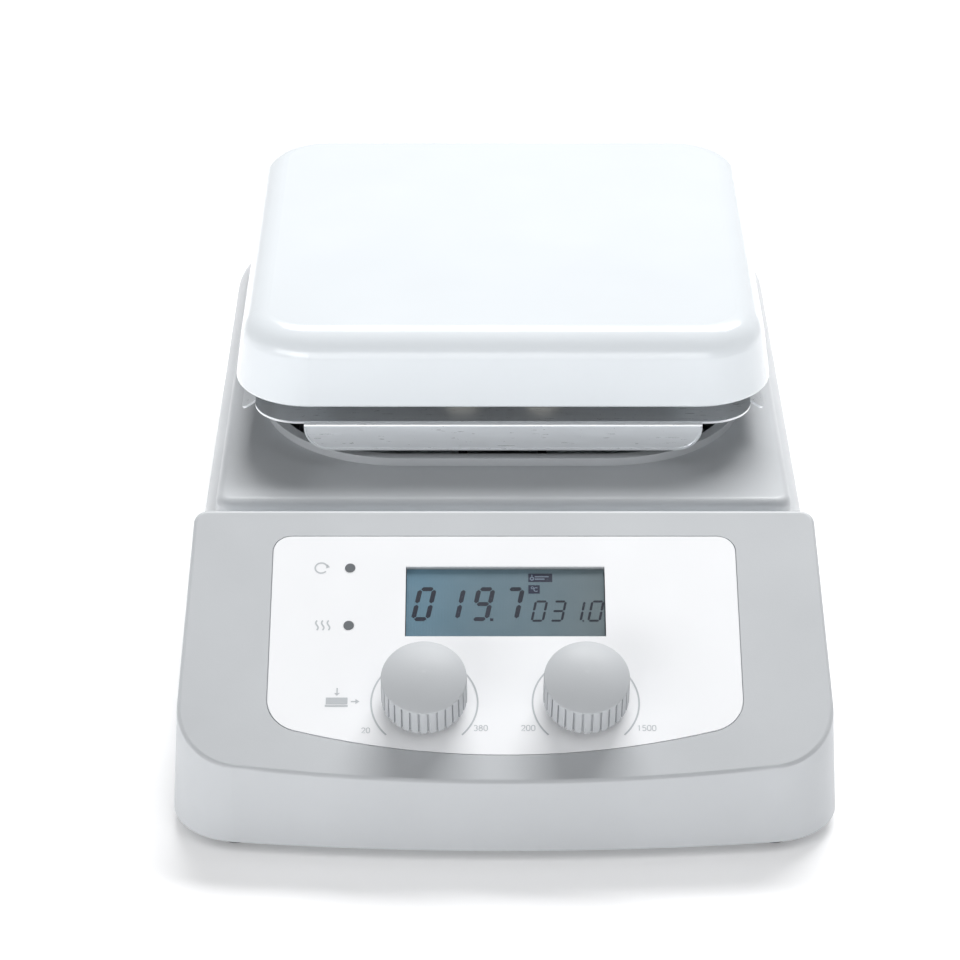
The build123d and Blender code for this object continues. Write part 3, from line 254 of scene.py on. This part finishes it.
zinc = metal("zinc_steel", srgb(192, 196, 196), srgb(174, 178, 180), 0.3, 0.46)
spangle = zinc.remap(zinc.cells(110.0), 0.0, 0.8, 0.0, 1.0)
zinc.colour(zinc.mix(spangle, srgb(198, 202, 202), srgb(170, 175, 178)))
finishes["zinc_steel"] = zinc

finishes["element"] = metal(
    "element", srgb(146, 142, 138), srgb(122, 112, 102), 0.38, 0.58, (1, 1, 1), 700.0, 0.00001
)
finishes["fibre_pad"] = plastic(
    "fibre_pad", srgb(226, 222, 212), srgb(208, 203, 192), 0.85, 0.95, 900.0, 0.0002
)

enamel = Surface("enamel_white")
enamel.mottle(srgb(240, 245, 249), srgb(238, 243, 247), 14.0)
enamel.rough(0.16, 0.24, 45.0)
enamel.bump(enamel.noise(160.0, 2.0), 0.000006)
enamel.set(Coat_Weight=0.5, Coat_Roughness=0.12)
finishes["enamel_white"] = enamel

coils = metal("copper", srgb(206, 128, 82), srgb(184, 106, 64), 0.26, 0.4)
turns = coils.bands(420.0, "Z")
coils.colour(coils.mix(turns, srgb(140, 76, 44), srgb(214, 136, 88)))
coils.bump(turns, 0.0002)
finishes["copper"] = coils

core = metal("core_steel", srgb(132, 132, 136), srgb(116, 116, 120), 0.38, 0.5)
layers = core.bands(300.0, "Z")
core.colour(core.mix(layers, srgb(88, 88, 92), srgb(140, 140, 145)))
core.bump(layers, 0.0001)
finishes["core_steel"] = core

winding = plastic("transformer_yellow", srgb(198, 170, 78), srgb(184, 156, 66), 0.4, 0.55)
wraps = winding.remap(winding.bands(26.0, "X"), 0.45, 0.55, 0.0, 1.0)
winding.colour(winding.mix(wraps, srgb(200, 172, 80), srgb(66, 64, 62)))
winding.bump(wraps, 0.0001)
finishes["transformer_yellow"] = winding

glass = Surface("glass_fuse")
glass.mottle(srgb(206, 214, 214), srgb(196, 206, 206), 80.0)
glass.rough(0.05, 0.1, 150.0)
glass.bump(glass.noise(400.0, 2.0), 0.000004)
glass.set(Alpha=0.45)
finishes["glass_fuse"] = glass

ink = plastic("print_grey", srgb(206, 210, 213), srgb(200, 204, 208), 0.4, 0.5, 2400.0, 0.000004)
digit_ink = plastic("digit_navy", srgb(14, 20, 52), srgb(8, 10, 30), 0.35, 0.45, 1500.0, 0.000004)
badge_ink = plastic("badge_navy", srgb(20, 34, 88), srgb(14, 20, 52), 0.35, 0.45, 1500.0, 0.000004)
badge_mark = plastic("badge_mark", srgb(132, 146, 168), srgb(126, 140, 160), 0.35, 0.45, 1500.0, 0.000004)

node_slots = {
    "housing_grey": "top_housing",
    "zinc_steel": "base_plate underside_screws board_pillars inner_screws motor_bridge plate_spacers"
    " stud_nuts rotor_cup holder_nut",
    "rubber_black": "rubber_feet",
    "panel_white": "panel_overlay",
    "clear_window": "display_window",
    "lcd": "lcd_glass",
    "dark_plastic": "lcd_frame temperature_encoder_sleeve speed_encoder_sleeve mains_module fuse_drawer"
    " switch_frame switch_rocker triac terminal_block",
    "lens_grey": "indicator_lights",
    "board_green": "display_board power_board",
    "nickel": "encoders encoder_nuts temperature_shaft speed_shaft stirring_magnets serial_port sensor_socket"
    " rod_socket",
    "knob_grey": "temperature_knob speed_knob",
    "enamel_white": "hotplate",
    "element": "heating_element",
    "fibre_pad": "insulation_pad",
    "polished_steel": "element_cover heat_tray",
    "steel": "plate_studs heater_terminals plate_probe motor_bearings spindle",
    "ceramic_white": "terminal_bushes thermal_cutout",
    "motor_alloy": "motor_base magnet_holder heat_sink",
    "core_steel": "stator_core",
    "copper": "stator_coils",
    "magnet": "rotor_magnet",
    "brass_part": "mains_pins",
    "glass_fuse": "fuse",
    "transformer_yellow": "transformer",
    "can_black": "capacitors",
    "lead_insulation": "heater_leads mains_lead",
}
for slot, names in node_slots.items():
    for name in names.split():
        mesh = frame["nodes"][name].data
        mesh.materials.clear()
        mesh.materials.append(finishes[slot].material)


# ---------------------------------------------------------------- console frame
# A place on the console is (x, distance up the slope, height above the face) in millimetres.
knob_up_slope = 21.9  # from the ridge over the front wall to the knobs
normal = Vector(joints["temperature_turn"]["axis"]).normalized()
knob_left = Vector(joints["temperature_turn"]["pos_m"])
knob_right = Vector(joints["speed_turn"]["pos_m"])
across = (knob_right - knob_left).normalized()
up_slope = normal.cross(across)
knob_x = (knob_right - knob_left).length / 2 / MM
console_origin = (knob_left + knob_right) / 2 - up_slope * knob_up_slope * MM


def on_console(x, s, height):
    return console_origin + across * x * MM + up_slope * s * MM + normal * height * MM


def to_console(point):
    offset = (point - console_origin) / MM
    return Vector((offset.dot(across), offset.dot(up_slope), offset.dot(normal)))


def console_box(node):
    """Lowest and highest console coordinates of a CAD node."""
    places = [to_console(vertex.co) for vertex in frame["nodes"][node].data.vertices]
    low = Vector([min(place[i] for place in places) for i in range(3)])
    high = Vector([max(place[i] for place in places) for i in range(3)])
    return low, high


def flat_piece(name, shapes, height, surface):
    """Thin flat shapes lying on the console, as one piece of the housing."""
    vertices = []
    faces = []
    for shape in shapes:
        first = len(vertices)
        vertices += [on_console(x, s, height) for x, s in shape]
        faces.append(range(first, first + len(shape)))
    mesh = bpy.data.meshes.new(name)
    mesh.from_pydata(vertices, [], faces)
    mesh.materials.append(surface.material)
    piece = bpy.data.objects.new(name, mesh)
    bpy.context.scene.collection.objects.link(piece)
    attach(piece, "housing")
    return piece


def stroke(points, width):
    """A band of that width along a line of points, as four-cornered shapes."""
    half = width / 2
    sides = []
    for i, point in enumerate(points):
        before = Vector(points[max(i - 1, 0)])
        after = Vector(points[min(i + 1, len(points) - 1)])
        run = (after - before).normalized()
        side = Vector((-run.y, run.x)) * half
        sides.append((Vector(point) - side, Vector(point) + side))
    return [
        [tuple(a[0]), tuple(b[0]), tuple(b[1]), tuple(a[1])] for a, b in zip(sides, sides[1:])
    ]


def arc_points(centre, radius, start, end, count):
    """Points along an arc, with its angles in degrees from +X."""
    angles = [math.radians(start + (end - start) * i / (count - 1)) for i in range(count)]
    return [(centre[0] + radius * math.cos(a), centre[1] + radius * math.sin(a)) for a in angles]


def bar(x, s, width, height):
    """An upright rectangle from its lower left corner."""
    return [(x, s), (x + width, s), (x + width, s + height), (x, s + height)]


# ---------------------------------------------------------------- numerals
# Each numeral is strokes in a cell 0.6 wide and 1 high.
zero_top = arc_points((0.3, 0.7), 0.26, 0, 180, 9)
zero_bottom = arc_points((0.3, 0.3), 0.26, 180, 360, 9)
numeral_strokes = {
    "0": [zero_top + zero_bottom + [(0.56, 0.7)]],
    "1": [[(0.12, 0.8), (0.32, 0.96), (0.32, 0.04)]],
    "2": [arc_points((0.3, 0.7), 0.26, 170, -30, 9) + [(0.05, 0.04), (0.57, 0.04)]],
    "3": [arc_points((0.28, 0.72), 0.24, 150, -80, 9) + arc_points((0.28, 0.28), 0.26, 80, -150, 9)],
    "5": [[(0.52, 0.96), (0.13, 0.96), (0.09, 0.55)] + arc_points((0.29, 0.32), 0.28, 110, -150, 10)],
    "8": [arc_points((0.3, 0.73), 0.22, 0, 360, 15), arc_points((0.3, 0.28), 0.26, 0, 360, 15)],
}


def number(text, x, s, height, width):
    """A printed number from its lower left corner."""
    shapes = []
    for place, character in enumerate(text):
        for line in numeral_strokes[character]:
            points = [(x + (place * 0.74 + a) * height, s + b * height) for a, b in line]
            shapes += stroke(points, width)
    return shapes


# ---------------------------------------------------------------- printed marks
print_lift = 0.03
print_height = console_box("panel_overlay")[1].z + print_lift

dial_radius = 12.75
dial_line = 0.42
numeral_line = 0.22
# The ends of the two dials: the number, its lower left corner and its height.
end_numbers = (
    ("20", -34.2, 13.4, 1.5),
    ("380", -7.5, 14.0, 1.6),
    ("200", 3.8, 14.0, 1.6),
    ("1500", 31.4, 14.0, 1.6),
)
marks = []
for x in (-knob_x, knob_x):
    marks += stroke(arc_points((x, knob_up_slope), dial_radius, -45, 225, 61), dial_line)
for text, x, s, height in end_numbers:
    marks += number(text, x, s, height, numeral_line)
flat_piece("dial_marks", marks, print_height, ink)

light_radius = 1.25
light_low, light_high = console_box("indicator_lights")
stirring_light = light_high.y - light_radius
heating_light = light_low.y + light_radius
symbol_line = 0.4
symbols = []


def turning_arrow(x, s):
    """Most of a circle round that place, with a head at its upper end."""
    head = [(x + 1.1, s - 0.1), (x + 2.1, s + 0.2), (x + 1.5, s + 1.1)]
    return stroke(arc_points((x, s), 1.5, 20, 320, 25), symbol_line) + [head]


def rising_wave(x, s):
    """One turn of an upright wave with its middle at that place."""
    height = 2.8
    swing = 0.3
    steps = 12
    points = [
        (x + swing * math.sin(i / steps * 2 * math.pi), s - height / 2 + i / steps * height)
        for i in range(steps + 1)
    ]
    return stroke(points, symbol_line)


def push_button(x, s):
    """A button on its base, with an arrow down to it and one across to the dial."""
    return [
        bar(x, s, 5.2, 1.9),
        bar(x - 0.2, s - 0.7, 5.5, 0.5),
        [(x + 1.95, s + 3.2), (x + 2.65, s + 2.4), (x + 3.35, s + 3.2)],
        bar(x + 2.48, s + 3.2, 0.34, 1.4),
        bar(x + 6.0, s + 0.65, 1.2, 0.3),
        [(x + 7.1, s + 0.1), (x + 8.1, s + 0.8), (x + 7.1, s + 1.5)],
    ]


symbols += turning_arrow(-45.0, stirring_light)
for column in (-45.6, -44.2, -42.8):
    symbols += rising_wave(column, heating_light)
symbols += push_button(-42.9, 21.4)
flat_piece("panel_symbols", symbols, print_height, ink)

# ---------------------------------------------------------------- display
window_low, window_high = console_box("display_window")
left_edge = window_low.x
top_edge = window_high.y
digit_lift = 0.02
digit_height = console_box("lcd_glass")[1].z + digit_lift
lean = 0.19  # sideways run of a digit for each step up

# The seven bars of a digit, as (from, to) corners of a cell 1 wide and 2 high.
segments = {
    "a": ((0, 2), (1, 2)),
    "b": ((1, 2), (1, 1)),
    "c": ((1, 1), (1, 0)),
    "d": ((0, 0), (1, 0)),
    "e": ((0, 1), (0, 0)),
    "f": ((0, 2), (0, 1)),
    "g": ((0, 1), (1, 1)),
}
lit = {"0": "abcdef", "1": "bc", "3": "abcdg", "7": "abc", "9": "abcdfg"}


def digit(character, x, s, width, height, thick):
    """A leaning seven-bar digit from its lower left corner."""
    gap = 0.18 * thick
    taper = 0.42 * thick
    shapes = []
    across_bar = width - thick
    up_bar = (height - thick) / 2
    for name in lit[character]:
        (x0, y0), (x1, y1) = segments[name]
        start = Vector((thick / 2 + x0 * across_bar, thick / 2 + y0 * up_bar))
        end = Vector((thick / 2 + x1 * across_bar, thick / 2 + y1 * up_bar))
        run = (end - start).normalized()
        side = Vector((-run.y, run.x)) * thick / 2
        start = start + run * gap
        end = end - run * gap
        tip = run * taper
        outline = [
            start,
            start + tip - side,
            end - tip - side,
            end,
            end - tip + side,
            start + tip + side,
        ]
        shapes.append([(x + p.x + p.y * lean, s + p.y) for p in outline])
    return shapes


def reading(text, x, s, pitch, size, thick, point):
    """A row of digits, with point as the decimal point's place in the third cell and its size."""
    shapes = []
    for place, character in enumerate(text):
        shapes += digit(character, x + pitch * place, s, *size, thick)
    inset, width, height = point
    shapes.append(bar(x + pitch * 2 + inset, s, width, height))
    return shapes


large = {"pitch": 7.2, "size": (4.6, 9.9), "thick": 1.15, "point": (5.0, 0.8, 0.8)}
small = {"pitch": 4.6, "size": (3.3, 6.2), "thick": 0.6, "point": (3.5, 0.4, 0.45)}
shown = reading("0197", left_edge + 1.2, top_edge - 15.3, **large)
shown += reading("0310", left_edge + 30.4, top_edge - 15.5, **small)
flat_piece("display_digits", shown, digit_height, digit_ink)

# Two dark fields over the small reading: one with a ring and two lines, one with a degree sign.
badge_x = left_edge + 30.0
badge_tall = 2.5
badges = [
    bar(badge_x, top_edge - 3.9, 5.9, badge_tall),
    bar(badge_x, top_edge - 7.3, 2.8, badge_tall),
]
flat_piece("display_badges", badges, digit_height, badge_ink)
badge_marks = [
    bar(badge_x + 1.6, top_edge - 2.5, 3.4, 0.34),
    bar(badge_x + 1.6, top_edge - 3.2, 2.4, 0.34),
]
badge_marks += stroke(arc_points((badge_x + 0.9, top_edge - 2.9), 0.42, 0, 360, 15), 0.3)
badge_marks += [bar(badge_x + 0.78, top_edge - 2.5, 0.24, 0.8)]
badge_marks += stroke(arc_points((badge_x + 1.0, top_edge - 5.6), 0.3, 0, 360, 13), 0.2)
badge_marks += stroke(arc_points((badge_x + 1.9, top_edge - 6.1), 0.55, 50, 310, 13), 0.24)
flat_piece("badge_marks", badge_marks, digit_height + digit_lift, badge_mark)


# ---------------------------------------------------------------- stage
floor_surface = Surface("floor")
floor_surface.mottle(srgb(250, 250, 250), srgb(247, 247, 248), 1.5)
floor_surface.rough(0.75, 0.85, 6.0)
floor_surface.bump(floor_surface.noise(60.0, 2.0), 0.00002)
floor_surface.set(Specular_IOR_Level=0.1, Emission_Color=(1, 1, 1, 1), Emission_Strength=0.15)
reach = 14.0
floor_corners = [(-reach, -reach, 0), (reach, -reach, 0), (reach, reach, 0), (-reach, reach, 0)]
floor_mesh = bpy.data.meshes.new("floor")
floor_mesh.from_pydata(floor_corners, [], [(0, 1, 2, 3)])
floor_mesh.materials.append(floor_surface.material)
floor = bpy.data.objects.new("floor", floor_mesh)
bpy.context.scene.collection.objects.link(floor)

world = bpy.data.worlds.new("studio")
bpy.context.scene.world = world
world.use_nodes = True
background = world.node_tree.nodes["Background"]
background.inputs["Color"].default_value = (0.97, 0.985, 1.0, 1.0)
# a bright band round the horizon, dimmer overhead
direction = world.node_tree.nodes.new("ShaderNodeTexCoord")
elevation = world.node_tree.nodes.new("ShaderNodeSeparateXYZ")
falloff = world.node_tree.nodes.new("ShaderNodeMapRange")
for name, value in (("From Min", 0.0), ("From Max", 0.45), ("To Min", 0.6), ("To Max", 0.2)):
    falloff.inputs[name].default_value = value
world.node_tree.links.new(direction.outputs["Generated"], elevation.inputs["Vector"])
world.node_tree.links.new(elevation.outputs["Z"], falloff.inputs["Value"])
world.node_tree.links.new(falloff.outputs["Result"], background.inputs["Strength"])


def softbox(name, place, target, size, power, only=()):
    """A rectangular area light at place, facing target, in metres and watts; only names what it lights."""
    data = bpy.data.lights.new(name, "AREA")
    data.shape = "RECTANGLE"
    data.size, data.size_y = size
    data.energy = power
    light = bpy.data.objects.new(name, data)
    light.location = place
    light.rotation_euler = (Vector(target) - Vector(place)).to_track_quat("-Z", "Y").to_euler()
    bpy.context.scene.collection.objects.link(light)
    if only:
        receivers = bpy.data.collections.new(name + "_receivers")
        for receiver in only:
            receivers.objects.link(receiver)
        light.light_linking.receiver_collection = receivers


softbox("key_behind", (0.2, 0.82, 1.28), (0, 0, 0.05), (1.2, 0.55), 27.0)
softbox("low_front", (-0.9, -1.4, 0.42), (0, 0, 0.05), (1.5, 0.45), 6.4)
plate_and_tray = (frame["nodes"]["hotplate"], frame["nodes"]["heat_tray"])
softbox("plate_fill", (-0.1, -1.5, 0.35), (0, 0, 0.07), (1.6, 0.5), 5.0, plate_and_tray)
panel_and_knobs = [
    frame["nodes"][name]
    for name in ("panel_overlay", "display_window", "lcd_glass", "temperature_knob", "speed_knob")
]
softbox("panel_fill", (0.25, -0.8, 1.2), (0, -0.1, 0.04), (0.8, 0.8), 2.8, panel_and_knobs)
softbox("floor_fill", (0, -1.2, 1.6), (0, -0.3, 0), (2.0, 1.0), 13.0, (floor,))

pitch_down = 28
camera_data = bpy.data.cameras.new("camera")
camera_data.lens = 126.26
camera_data.sensor_width = 36.0
camera = bpy.data.objects.new("camera", camera_data)
camera.location = (-0.006, -0.805, 0.4574)
camera.rotation_euler = (math.radians(90 - pitch_down), 0, 0)
bpy.context.scene.collection.objects.link(camera)
bpy.context.scene.camera = camera

bpy.context.scene.view_settings.view_transform = "Standard"
